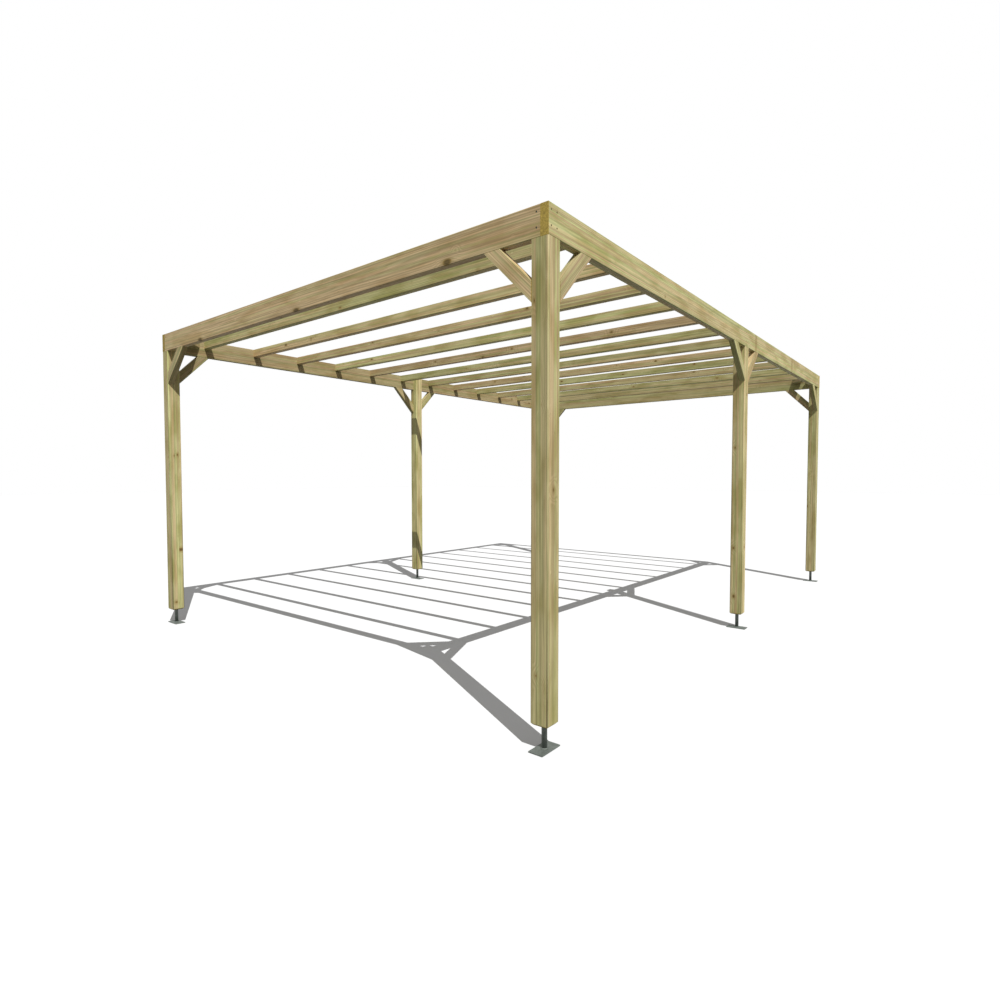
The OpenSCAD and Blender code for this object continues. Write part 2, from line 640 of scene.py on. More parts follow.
        # Latewood stands a hair above the earlywood once the planed face has dried.
        height = self._sum(tree, "MULTIPLY_ADD", late, 0.10, self._sum(
            tree, "MULTIPLY", fibre, 0.16
        ))
        bump = add_node(
            tree,
            "ShaderNodeBump",
            {"Height": height, "Strength": 0.6, "Distance": MM},
        ).outputs[0]
        rough = self._fade(tree, late, (0.0, 1.0), (self.roughness, 0.6))
        shader = add_node(
            tree,
            "ShaderNodeBsdfPrincipled",
            {
                "Base Color": lit.outputs[0],
                "Roughness": rough,
                "Normal": bump,
                "IOR": 1.45,
                "Specular IOR Level": 0.3,
            },
        )
        add_node(
            tree, "ShaderNodeOutputMaterial", {"Surface": shader.outputs[0]}
        )
        return material


@dataclass(frozen=True)
class CoatedSteel:
    """Mild steel, galvanised and dulled to dark slate grey.

    Zinc spangle shows as faint patches about a centimetre across, with cloudy
    dulling over them, so highlights are soft and a little uneven.
    """

    name: str = "dulled galvanised steel"
    base: str = "#6b716b"
    deep: str = "#5c625c"
    roughness: float = 0.62
    metallic: float = 0.45
    spangle_mm: float = 9.0
    cloud_mm: float = 45.0

    def build(self) -> bpy.types.Material:
        """Builds the material.

        Returns:
            The material.
        """
        material, tree = new_material(self.name)
        spot = add_node(tree, "ShaderNodeTexCoord").outputs["Object"]
        cells = add_node(
            tree,
            "ShaderNodeTexVoronoi",
            {"Vector": spot, "Scale": 1 / (self.spangle_mm * MM)},
        )
        spangle = add_node(
            tree, "ShaderNodeSeparateColor", {0: cells.outputs["Color"]}
        ).outputs[0]
        cloud = add_node(
            tree,
            "ShaderNodeTexNoise",
            {"Vector": spot, "Scale": 1 / (self.cloud_mm * MM), "Detail": 4.0},
        ).outputs["Fac"]
        both = add_node(
            tree,
            "ShaderNodeMath",
            {0: spangle, 1: 0.35, 2: cloud},
            operation="MULTIPLY_ADD",
        ).outputs[0]
        colour = add_node(
            tree,
            "ShaderNodeValToRGB",
            {0: both},
            [(0.35, self.deep), (0.9, self.base)],
        ).outputs[0]
        rough = add_node(
            tree,
            "ShaderNodeMapRange",
            {"Value": both, "To Min": self.roughness - 0.08, "To Max": self.roughness + 0.1},
        ).outputs[0]
        bump = add_node(
            tree,
            "ShaderNodeBump",
            {"Height": cloud, "Strength": 0.15, "Distance": MM},
        ).outputs[0]
        shader = add_node(
            tree,
            "ShaderNodeBsdfPrincipled",
            {
                "Base Color": colour,
                "Metallic": self.metallic,
                "Roughness": rough,
                "Normal": bump,
            },
        )
        add_node(
            tree, "ShaderNodeOutputMaterial", {"Surface": shader.outputs[0]}
        )
        return material


# ------------------------------------------------------------------------- timbers


class Slot(Enum):
    """Material slots of the record."""

    POST = "post_pine"
    BEAM = "beam_pine"
    RAFTER = "rafter_pine"
    BRACE = "brace_pine"
    STEEL = "galvanised_steel"


@dataclass
class Board:
    """How one board was cut from its trunk, and its colour.

    Attributes:
        centre: Middle of the board in the frame.
        along: Direction of the grain.
        pith_mm: The pith, across and through from the board's middle.
        tan: Share of heartwood, from 0 for greenish to 1 for pinkish tan.
        tone: Lightness against the average board.
        seed_mm: How far along the trunk the board starts.
    """

    centre: Vector
    along: Vector
    pith_mm: tuple[float, float]
    tan: float
    tone: float
    seed_mm: float

    def axes(self) -> tuple[Vector, Vector, Vector]:
        """Returns the directions along, across and through the board."""
        up = Vector((0, 0, 1)) if abs(self.along.z) < 0.9 else Vector((0, 1, 0))
        through = self.along.cross(up).normalized()
        return self.along, through.cross(self.along), through


def mark_grain(
    mesh: bpy.types.Mesh, board_at: Callable[[Vector], Board], narrow: float = 2 * MM
) -> None:
    """Stores each board's grain, colour and sawn ends, and smooths eased edges.

    Args:
        mesh: A finished mesh of one or more boards.
        board_at: Finds the board at a point.
        narrow: Four-sided faces with an edge shorter than this are eased edges.
    """
    grain = mesh.attributes.new("grain", "FLOAT_VECTOR", "POINT")
    tint = mesh.attributes.new("board", "FLOAT_VECTOR", "POINT")
    end = mesh.attributes.new("end", "FLOAT", "FACE")
    for i, vertex in enumerate(mesh.vertices):
        board = board_at(vertex.co)
        offset = vertex.co - board.centre
        along, across, through = [offset.dot(a) / MM for a in board.axes()]
        across += board.pith_mm[0]
        through += board.pith_mm[1]
        grain.data[i].vector = (along + board.seed_mm, across, through)
        tint.data[i].vector = (board.tan, board.tone, 0.0)
    for i, face in enumerate(mesh.polygons):
        corners = [mesh.vertices[v].co for v in face.vertices]
        shortest = min(
            (a - b).length for a, b in zip(corners, corners[1:] + corners[:1])
        )
        face.use_smooth = len(corners) == 4 and shortest < narrow
        if abs(face.normal.dot(board_at(face.center).along)) > 0.6:
            end.data[i].value = 1.0
        elif face.use_smooth:
            end.data[i].value = 0.5


@dataclass
class TimberYard:
    """Hands out boards, so that no two have the same grain.

    Attributes:
        random: Draws the piths, tones and seeds.
        spacing_mm: Length of trunk between two boards.
    """

    random: Random = field(default_factory=lambda: Random(11))
    spacing_mm: float = 9000.0
    count: int = 0

    def board(
        self,
        centre: Vector,
        along: Vector,
        far_mm: tuple[float, float],
        tan: float,
        tone: float = 1.0,
    ) -> Board:
        """Takes the next board.

        Args:
            centre: Its middle in the frame.
            along: Direction of its grain.
            far_mm: Least and most distance from the pith to its middle.
            tan: Share of heartwood.
            tone: Lightness against the average board.

        Returns:
            The board.
        """
        self.count += 1
        distance = self.random.uniform(*far_mm)
        turn = self.random.uniform(-0.35, 0.35)
        side = self.random.choice((-1, 1))
        pith = (distance * math.sin(turn), side * distance * math.cos(turn))
        seed = self.spacing_mm * self.count
        return Board(centre, along.normalized(), pith, tan, tone, seed)


@dataclass
class Fixings:
    """Where screws go in, collected from the timbers that they hold.

    Attributes:
        hole: Diameter of the countersunk pocket.
        sink: How deep the head lies below the face.
        depth: Depth of the pocket.
    """

    hole: float = 9.6 * MM
    sink: float = 1.6 * MM
    depth: float = 6.0 * MM
    spots: list[tuple[Vector, Vector]] = field(default_factory=list)

    def drill(self, at: Vector, outward: Vector) -> bpy.types.Mesh:
        """Notes a screw and makes the pocket that it sits in.

        Args:
            at: The screw's middle on the timber's face.
            outward: The face's normal.

        Returns:
            The shape to cut from the timber.
        """
        self.spots.append((at - outward * self.sink, outward))
        over = 1 * MM
        start, end = at + outward * over, at - outward * self.depth
        return round_bar(start, end, self.hole / 2)


@dataclass
class Beam:
    """A rim beam on edge, with eased edges and pockets for its screws.

    Attributes:
        node: The CAD node it stands for.
        tan: Share of heartwood.
        tone: Lightness against the average board.
        ease: Radius of its long edges.
        end_ease: Chamfer of its ends.
        steps: Straight pieces in each rounded edge.
    """

    node: str
    tan: float
    tone: float
    ease: float = 3 * MM
    end_ease: float = 0.8 * MM
    steps: int = 4

    def rings(self, low: Vector, high: Vector) -> list[Ring]:
        """Lays rings of a rounded section along a straight timber.

        Args:
            low: Lowest corner of its box.
            high: Highest corner of its box.

        Returns:
            Four rings, the outer two slightly smaller for the eased ends.
        """
        size, middle = high - low, (low + high) / 2
        axis = max(range(3), key=lambda k: size[k])
        first, second = [k for k in range(3) if k != axis]
        rings = []
        for end, inset in ((-1, 0), (-1, 1), (1, 1), (1, 0)):
            shrink = 0.0 if inset else self.end_ease
            outline = eased_rectangle(
                size[first] - 2 * shrink,
                size[second] - 2 * shrink,
                self.ease - shrink,
                self.steps,
            )
            ring = []
            for u, v in outline:
                point = middle.copy()
                point[first] += u
                point[second] += v
                point[axis] += end * (size[axis] / 2 - inset * self.end_ease)
                ring.append(point)
            rings.append(ring)
        return rings

    def build(
        self,
        yard: TimberYard,
        pine: bpy.types.Material,
        pockets: Sequence[bpy.types.Mesh],
    ) -> None:
        """Builds the beam.

        Args:
            yard: Where its board comes from.
            pine: Its finish.
            pockets: Shapes to cut for its screws.
        """
        low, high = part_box(self.node)
        size = high - low
        along = Vector((1, 0, 0)) if size.x > size.y else Vector((0, 1, 0))
        mesh = carve(loft(self.node, self.rings(low, high)), pockets)
        board = yard.board((low + high) / 2, along, (55, 95), self.tan, self.tone)
        mark_grain(mesh, lambda _: board)
        mesh.materials.append(pine)
        piece = show(f"{self.node}_board", mesh)
        hang_up(piece, Slot.BEAM.value, self.node)


@dataclass
class Post:
    """A square post: eased edges, a chamfered foot, a rebated head and a bore.

    Attributes:
        node: The CAD node it stands for.
    """

    node: str
    tan: float
    tone: float
    ease: float = 6 * MM
    foot_ease: float = 8 * MM
    steps: int = 8
    over: float = 1 * MM
    bore_gap: float = 0.5 * MM

    def build(self, yard: TimberYard, pine: bpy.types.Material) -> None:
        """Builds the post between its steel foot and the beams that it carries.

        Args:
            yard: Where its board comes from.
            pine: Its finish.
        """
        low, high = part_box(self.node)
        size, middle = high - low, (low + high) / 2
        rings = []
        for z, shrink in (
            (low.z, self.foot_ease),
            (low.z + self.foot_ease, 0.0),
            (high.z, 0.0),
        ):
            side = size.x - 2 * shrink
            outline = eased_rectangle(side, side, self.ease, self.steps)
            rings.append([Vector((middle.x + u, middle.y + v, z)) for u, v in outline])
        mesh = loft(self.node, rings)
        for cut in self._cuts(low, high):
            mesh = carve(mesh, [cut])
        board = yard.board(
            middle, Vector((0, 0, 1)), (18, 46), self.tan, self.tone
        )
        mark_grain(mesh, lambda _: board)
        mesh.materials.append(pine)
        piece = show(f"{self.node}_timber", mesh)
        hang_up(piece, Slot.POST.value, self.node)

    def _cuts(self, low: Vector, high: Vector) -> list[bpy.types.Mesh]:
        """Lists the rebates for the beams and the bore for the steel stem.

        Args:
            low: Lowest corner of the post.
            high: Highest corner of the post.

        Returns:
            The shapes to cut away.
        """
        beam_low, beam_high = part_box("right_beam")
        thick, over = beam_high.x - beam_low.x, self.over
        cuts = []
        side_x = 1 if low.x > 0 else -1
        near, far = (high.x - thick, high.x + over)
        if side_x < 0:
            near, far = (low.x - over, low.x + thick)
        cuts.append(
            block(
                (near, low.y - over, beam_low.z),
                (far, high.y + over, high.z + over),
            )
        )
        if not self.node.startswith("middle"):
            near, far = (high.y - thick, high.y + over)
            if low.y < 0:
                near, far = (low.y - over, low.y + thick)
            cuts.append(
                block(
                    (low.x - 2 * over, near, beam_low.z),
                    (high.x + 2 * over, far, high.z + 2 * over),
                )
            )
        foot = Vector(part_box(self.node.replace("post", "foot"))[1])
        middle = (low + high) / 2
        stem = STEM_RADIUS + self.bore_gap
        cuts.append(
            round_bar(
                Vector((middle.x, middle.y, low.z - over)),
                Vector((middle.x, middle.y, foot.z)),
                stem,
                32,
            )
        )
        return cuts


@dataclass
class Brace:
    """A short 45 degree brace, mitred against a post and under a beam.

    Attributes:
        node: The CAD node it stands for.
    """

    node: str
    tan: float
    tone: float
    ease: float = 3 * MM
    steps: int = 4
    depth: float = 70 * MM

    def build(self, yard: TimberYard, pine: bpy.types.Material) -> None:
        """Builds the brace in the box of its node.

        Args:
            yard: Where its board comes from.
            pine: Its finish.
        """
        low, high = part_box(self.node)
        size, middle = high - low, (low + high) / 2
        run = 0 if size.x > size.y else 1
        thick = 1 - run
        parts = self.node.split("_")
        outward = middle[run] < 0
        if parts[0] == "middle":
            outward = parts[2] == "aft"
        step = 1 if outward else -1
        corner = low[run] if outward else high[run]
        mesh = loft(self.node, self._rings(corner, step, run, thick, low, high))
        along = Vector((0, 0, 1))
        along[run] = step
        board = yard.board(middle, along, (30, 60), self.tan, self.tone)
        mark_grain(mesh, lambda _: board)
        mesh.materials.append(pine)
        piece = show(f"{self.node}_board", mesh)
        hang_up(piece, Slot.BRACE.value, self.node)

    def _rings(
        self,
        corner: float,
        step: int,
        run: int,
        thick: int,
        low: Vector,
        high: Vector,
    ) -> list[Ring]:
        """Mitres a rounded section at the post's face and the beam's underside.

        Args:
            corner: Where the post's face is, along the brace's run.
            step: Which way the brace leans from there.
            run: The axis along which it leans.
            thick: The axis of its thickness.
            low: Lowest corner of its box.
            high: Highest corner of its box.

        Returns:
            The ring on the post and the ring under the beam.
        """
        reach = high.z - low.z
        outline = eased_rectangle(
            self.depth, high[thick] - low[thick], self.ease, self.steps
        )
        on_post, on_beam = [], []
        for u, v in outline:
            leg = reach - (self.depth / 2 - u) * math.sqrt(2)
            foot, head = Vector((0, 0, high.z - leg)), Vector((0, 0, high.z))
            foot[run], head[run] = corner, corner + step * leg
            foot[thick] = head[thick] = (low[thick] + high[thick]) / 2 + v
            on_post.append(foot)
            on_beam.append(head)
        return [on_post, on_beam]


@dataclass
class CornerBrace:
    """A flat brace across a corner of the rim, mitred against both beams.

    Attributes:
        node: The CAD node it stands for.
        tan: Share of heartwood.
        tone: Lightness against the average board.
        ease: Radius of its long edges.
        steps: Straight pieces in each rounded edge.
        depth: Its width in plan.
    """

    node: str
    tan: float
    tone: float
    ease: float = 3 * MM
    steps: int = 4
    depth: float = 70 * MM

    def build(self, yard: TimberYard, pine: bpy.types.Material) -> None:
        """Builds the brace in the box of its node.

        Args:
            yard: Where its board comes from.
            pine: Its finish.
        """
        low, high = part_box(self.node)
        middle = (low + high) / 2
        side_x = 1 if middle.x > 0 else -1
        side_y = 1 if middle.y > 0 else -1
        corner = middle.copy()
        corner.x = high.x if side_x > 0 else low.x
        corner.y = high.y if side_y > 0 else low.y
        outline = eased_rectangle(self.depth, high.z - low.z, self.ease, self.steps)
        on_end, on_side = [], []
        for u, v in outline:
            leg = high.x - low.x - (self.depth / 2 - u) * math.sqrt(2)
            on_end.append(corner + Vector((-side_x * leg, 0, v)))
            on_side.append(corner + Vector((0, -side_y * leg, v)))
        mesh = loft(self.node, [on_end, on_side])
        along = Vector((side_x, -side_y, 0))
        board = yard.board(middle, along, (30, 60), self.tan, self.tone)
        mark_grain(mesh, lambda _: board)
        mesh.materials.append(pine)
        piece = show(f"{self.node}_board", mesh)
        hang_up(piece, Slot.BRACE.value, self.node)


@dataclass
class RafterSet:
    """The rafters, laid out by Geometry Nodes as one piece.

    Attributes:
        count: How many there are.
        ease: Radius of their long edges.
        tans: Share of heartwood of each, from the front.
        tones: Lightness of each, from the front.
    """

    tans: tuple[float, ...]
    tones: tuple[float, ...]
    ease: float = 3 * MM
    ease_steps: int = 3

    def _tree(self, pine: bpy.types.Material) -> bpy.types.NodeTree:
        """Builds the tree: a rounded section swept along each rafter.

        Args:
            pine: The rafters' finish.

        Returns:
            The node tree.
        """
        tree = bpy.data.node_groups.new("rafters", "GeometryNodeTree")
        socket = tree.interface.new_socket
        socket("Geometry", in_out="OUTPUT", socket_type="NodeSocketGeometry")
        socket("Geometry", in_out="INPUT", socket_type="NodeSocketGeometry")
        for name in ("Run", "Thickness", "Height", "Edge radius", "First", "Step"):
            socket(name, in_out="INPUT", socket_type="NodeSocketFloat")
        for name in ("Count", "Edge steps"):
            socket(name, in_out="INPUT", socket_type="NodeSocketInt")
        sizes = add_node(tree, "NodeGroupInput").outputs
        section = add_node(
            tree,
            "GeometryNodeCurvePrimitiveQuadrilateral",
            {"Width": sizes["Thickness"], "Height": sizes["Height"]},
        )
        rounded = add_node(
            tree,
            "GeometryNodeFilletCurve",
            {
                "Curve": section.outputs[0],
                "Radius": sizes["Edge radius"],
                "Count": sizes["Edge steps"],
            },
            mode="POLY",
        )
        half = add_node(
            tree, "ShaderNodeMath", {0: sizes["Run"], 1: 0.5}, operation="MULTIPLY"
        ).outputs[0]
        back = add_node(
            tree, "ShaderNodeMath", {0: half, 1: -1.0}, operation="MULTIPLY"
        ).outputs[0]
        ends = [
            add_node(tree, "ShaderNodeCombineXYZ", {"X": x}).outputs[0]
            for x in (back, half)
        ]
        line = add_node(
            tree, "GeometryNodeCurvePrimitiveLine", {"Start": ends[0], "End": ends[1]}
        )
        rafter = add_node(
            tree,
            "GeometryNodeCurveToMesh",
            {
                "Curve": line.outputs[0],
                "Profile Curve": rounded.outputs[0],
                "Fill Caps": True,
            },
        )
        start = add_node(tree, "ShaderNodeCombineXYZ", {"Y": sizes["First"]})
        pitch = add_node(tree, "ShaderNodeCombineXYZ", {"Y": sizes["Step"]})
        row = add_node(
            tree,
            "GeometryNodeMeshLine",
            {
                "Count": sizes["Count"],
                "Start Location": start.outputs[0],
                "Offset": pitch.outputs[0],
            },
        )
        placed = add_node(
            tree,
            "GeometryNodeInstanceOnPoints",
            {"Points": row.outputs[0], "Instance": rafter.outputs[0]},
        )
        real = add_node(
            tree, "GeometryNodeRealizeInstances", {0: placed.outputs[0]}
        )
        dressed = add_node(
            tree,
            "GeometryNodeSetMaterial",
            {"Geometry": real.outputs[0], "Material": pine},
        )
        add_node(tree, "NodeGroupOutput", {0: dressed.outputs[0]})
        return tree

    def build(self, yard: TimberYard, pine: bpy.types.Material) -> None:
        """Builds the rafters between the side beams.

        Args:
            yard: Where their boards come from.
            pine: Their finish.
        """
        count = len(self.tans)
        nodes = [f"rafter_{i + 1:02d}" for i in range(count)]
        boxes = [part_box(node) for node in nodes]
        low, high = boxes[0]
        middles = [(a + b) / 2 for a, b in boxes]
        step = middles[1].y - middles[0].y
        values = {
            "Run": high.x - low.x,
            "Thickness": high.y - low.y,
            "Height": high.z - low.z,
            "Edge radius": self.ease,
            "First": middles[0].y,
            "Step": step,
            "Count": count,
            "Edge steps": self.ease_steps,
        }
        mesh = grow("rafters", self._tree(pine), values)
        for vertex in mesh.vertices:
            vertex.co.z += middles[0].z
        face_outwards(mesh)
        boards = [
            yard.board(middle, Vector((1, 0, 0)), (30, 60), tan, tone)
            for middle, tan, tone in zip(middles, self.tans, self.tones)
        ]

        def board_at(point: Vector) -> Board:
            """Returns the board of the rafter at a point."""
            place = round((point.y - middles[0].y) / step)
            return boards[min(max(place, 0), count - 1)]

        mark_grain(mesh, board_at)
        piece = show("rafters", mesh)
        hang_up(piece, Slot.RAFTER.value, *nodes)


def grow(
    name: str,
    tree: bpy.types.NodeTree,
    values: dict[str, object],
    source: bpy.types.Mesh | None = None,
) -> bpy.types.Mesh:
    """Runs a Geometry Nodes tree and returns what it makes.

    Args:
        name: The mesh's name.
        tree: The tree.
        values: The tree's inputs by name.
        source: The mesh that goes in, if the tree needs one.

    Returns:
        The plain mesh.
    """
    obj = show(name, source or bpy.data.meshes.new(name))
    modifier = obj.modifiers.new(name, "NODES")
    modifier.node_group = tree
    for item in tree.interface.items_tree:
        if item.in_out == "INPUT" and item.name in values:
            modifier[item.identifier] = values[item.name]
    mesh = evaluated(obj)
    mesh.name = name
    return mesh


def face_outwards(mesh: bpy.types.Mesh) -> None:
    """Merges doubles and turns every face of a closed mesh outwards."""
    shape = bmesh.new()
    shape.from_mesh(mesh)
    bmesh.ops.remove_doubles(shape, verts=shape.verts, dist=0.01 * MM)
    bmesh.ops.recalc_face_normals(shape, faces=shape.faces)
    shape.to_mesh(mesh)
    shape.free()


# --------------------------------------------------------------------------- steel


@dataclass
class ScrewHeads:
    """Countersunk screw heads with a six-lobed recess, by Geometry Nodes.

    Attributes:
        head: Diameter of a head.
        shank: Diameter where the cone ends.
        cone: Height of the cone.
        recess: Diameter of the recess over its lobes.
        recess_depth: How deep the recess is.
        facets: Sides round a head.
        seed: Turns each recess its own way.
    """

    head: float = 9.0 * MM
    shank: float = 4.5 * MM
    cone: float = 3.6 * MM
    recess: float = 4.6 * MM
    recess_depth: float = 2.2 * MM
    facets: int = 24
    seed: int = 5

    def _tree(self, steel: bpy.types.Material) -> bpy.types.NodeTree:
        """Builds the tree: one head, cut and set at every point.

        Args:
            steel: The heads' finish.

        Returns:
            The node tree.
        """
        tree = bpy.data.node_groups.new("screw heads", "GeometryNodeTree")
        socket = tree.interface.new_socket
        socket("Geometry", in_out="OUTPUT", socket_type="NodeSocketGeometry")
        socket("Geometry", in_out="INPUT", socket_type="NodeSocketGeometry")
        for name in ("Head radius", "Shank radius", "Cone", "Recess radius", "Depth"):
            socket(name, in_out="INPUT", socket_type="NodeSocketFloat")
        for name in ("Facets", "Seed"):
            socket(name, in_out="INPUT", socket_type="NodeSocketInt")
        sizes = add_node(tree, "NodeGroupInput").outputs
        cone = add_node(
            tree,
            "GeometryNodeMeshCone",
            {
                "Vertices": sizes["Facets"],
                "Radius Top": sizes["Head radius"],
                "Radius Bottom": sizes["Shank radius"],
                "Depth": sizes["Cone"],
            },
        )
        below = add_node(
            tree, "ShaderNodeMath", {0: sizes["Cone"], 1: -1.0}, operation="MULTIPLY"
        )
        drop = add_node(tree, "ShaderNodeCombineXYZ", {"Z": below.outputs[0]})
        flush = add_node(
            tree,
            "GeometryNodeTransform",
            {"Geometry": cone.outputs["Mesh"], "Translation": drop.outputs[0]},
        )
        inner = add_node(
            tree,
            "ShaderNodeMath",
            {0: sizes["Recess radius"], 1: 0.68},
            operation="MULTIPLY",
        )
        star = add_node(
            tree,
            "GeometryNodeCurveStar",
            {
                "Points": 6,
                "Outer Radius": sizes["Recess radius"],
                "Inner Radius": inner.outputs[0],
            },
        )
        deep = add_node(
            tree, "ShaderNodeMath", {0: sizes["Depth"], 1: -1.0}, operation="MULTIPLY"
        )
        bottom = add_node(tree, "ShaderNodeCombineXYZ", {"Z": deep.outputs[0]})
        top = add_node(tree, "ShaderNodeCombineXYZ", {"Z": sizes["Depth"]})
        line = add_node(
            tree,
            "GeometryNodeCurvePrimitiveLine",
            {"Start": bottom.outputs[0], "End": top.outputs[0]},
        )
        key = add_node(
            tree,
            "GeometryNodeCurveToMesh",
            {
                "Curve": line.outputs[0],
                "Profile Curve": star.outputs[0],
                "Fill Caps": True,
            },
        )
        head = add_node(
            tree,
            "GeometryNodeMeshBoolean",
            {"Mesh 1": flush.outputs[0], "Mesh 2": key.outputs[0]},
            operation="DIFFERENCE",
            solver="EXACT",
        )
        aim = add_node(
            tree,
            "GeometryNodeInputNamedAttribute",
            {"Name": "aim"},
            data_type="FLOAT_VECTOR",
        )
        faced = add_node(
            tree,
            "FunctionNodeAlignRotationToVector",
            {"Vector": aim.outputs[0]},
            axis="Z",
        )
        turn = add_node(
            tree,
            "FunctionNodeRandomValue",
            {"Seed": sizes["Seed"]},
            data_type="FLOAT",
        )
        angle = add_node(
            tree,
            "ShaderNodeMath",
            {0: turn.outputs[1], 1: math.pi},
            operation="MULTIPLY",
        )
        spin = add_node(tree, "ShaderNodeCombineXYZ", {"Z": angle.outputs[0]})
        turned = add_node(
            tree,
            "FunctionNodeRotateRotation",
            {"Rotation": faced.outputs[0], "Rotate By": spin.outputs[0]},
            rotation_space="LOCAL",
        )
        placed = add_node(
            tree,
            "GeometryNodeInstanceOnPoints",
            {
                "Points": sizes["Geometry"],
                "Instance": head.outputs["Mesh"],
                "Rotation": turned.outputs[0],
            },
        )
        real = add_node(
            tree, "GeometryNodeRealizeInstances", {0: placed.outputs[0]}
        )
        dressed = add_node(
            tree,
            "GeometryNodeSetMaterial",
            {"Geometry": real.outputs[0], "Material": steel},
        )
        add_node(tree, "NodeGroupOutput", {0: dressed.outputs[0]})
        return tree

    def build(self, fixings: Fixings, steel: bpy.types.Material) -> None:
        """Builds every screw head as one piece.

        Args:
            fixings: Where the screws are.
            steel: Their finish.
        """
        points = bpy.data.meshes.new("screw points")
        points.from_pydata([at for at, _ in fixings.spots], [], [])
        aim = points.attributes.new("aim", "FLOAT_VECTOR", "POINT")
        for i, (_, outward) in enumerate(fixings.spots):
            aim.data[i].vector = outward
        values = {
            "Head radius": self.head / 2,
            "Shank radius": self.shank / 2,
            "Cone": self.cone,
            "Recess radius": self.recess / 2,
            "Depth": self.recess_depth,
            "Facets": self.facets,
            "Seed": self.seed,
        }
        mesh = grow("screw_heads", self._tree(steel), values, points)
        face_outwards(mesh)
        hang_up(show("screw_heads", mesh), Slot.STEEL.value)


@dataclass
class Foot:
    """A steel foot: an eased plate, a round stem and the weld between them.

    Attributes:
        node: The CAD node it stands for.
    """

    node: str
    plate: float = 6 * MM
    corner: float = 3 * MM
    edge: float = 1.2 * MM
    weld: float = 4 * MM
    ripples: int = 26
    around: int = 96

    def build(self, steel: bpy.types.Material) -> None:
        """Builds the foot.

        Args:
            steel: Its finish.
        """
        low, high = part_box(self.node)
        middle = (low + high) / 2
        parts = [
            self._plate(low, high),
            self._stem(middle, low.z + self.plate / 2, high.z),
            self._weld(middle, low.z + self.plate),
        ]
        mesh = join_meshes(self.node, parts)
        mesh.materials.append(steel)
        for face in mesh.polygons:
            face.use_smooth = len(face.vertices) == 4 and face.area < 400 * MM * MM
        piece = show(f"{self.node}_steel", mesh)
        hang_up(piece, Slot.STEEL.value, self.node)

    def _plate(self, low: Vector, high: Vector) -> bpy.types.Mesh:
        """Makes the plate, with rounded corners and broken edges.

        Args:
            low: Lowest corner of the foot.
            high: Highest corner of the foot.

        Returns:
            The mesh.
        """
        rings = []
        edge = self.edge
        levels = (
            (0, edge),
            (edge, 0),
            (self.plate - edge, 0),
            (self.plate - edge * 0.3, edge * 0.3),
            (self.plate, edge),
        )
        for up, shrink in levels:
            outline = eased_rectangle(
                high.x - low.x - 2 * shrink,
                high.y - low.y - 2 * shrink,
                self.corner - shrink,
                4,
            )
            middle = (low + high) / 2
            rings.append(
                [Vector((middle.x + u, middle.y + v, low.z + up)) for u, v in outline]
            )
        return loft("plate", rings)

    def _stem(self, middle: Vector, foot: float, top: float) -> bpy.types.Mesh:
        """Makes the round stem.

        Args:
            middle: Middle of the foot.
            foot: Height of its lower end.
            top: Height of its upper end.

        Returns:
            The mesh.
        """
        turns = [2 * math.pi * i / self.around for i in range(self.around)]
        rings = []
        for z, r in (
            (foot, STEM_RADIUS),
            (top - self.edge, STEM_RADIUS),
            (top, STEM_RADIUS - self.edge),
        ):
            rings.append(
                [
                    Vector((middle.x + r * math.cos(t), middle.y + r * math.sin(t), z))
                    for t in turns
                ]
            )
        return loft("stem", rings)

    def _weld(self, middle: Vector, floor: float) -> bpy.types.Mesh:
        """Makes the rippled weld bead round the stem.

        Args:
            middle: Middle of the foot.
            floor: Height of the plate's top.

        Returns:
            The mesh.
        """
        shape = bmesh.new()
        sunk = 0.5 * MM
        leg = self.weld
        section = (
            (-sunk, -sunk),
            (leg, -sunk),
            (leg * 0.93, leg * 0.22),
            (leg * 0.68, leg * 0.5),
            (leg * 0.4, leg * 0.74),
            (leg * 0.14, leg * 0.95),
            (-sunk, leg),
        )
        rows = []
        for i in range(self.around):
            turn = 2 * math.pi * i / self.around
            swell = 1 + 0.07 * math.sin(turn * self.ripples)
            row = []
            for out, up in section:
                r = STEM_RADIUS + (out * swell if out > 0 else out)
                z = floor + (up * swell if up > 0 else up)
                row.append(
                    shape.verts.new(
                        (
                            middle.x + r * math.cos(turn),
                            middle.y + r * math.sin(turn),
                            z,
                        )
                    )
                )
            rows.append(row)
        count = len(section)
        for i, row in enumerate(rows):
            after = rows[(i + 1) % self.around]
            for j in range(count):
                k = (j + 1) % count
                shape.faces.new((row[j], row[k], after[k], after[j]))
        bmesh.ops.recalc_face_normals(shape, faces=shape.faces)
        mesh = bpy.data.meshes.new("weld")
        shape.to_mesh(mesh)
        shape.free()
        return mesh


# ------------------------------------------------------------------------- pergola


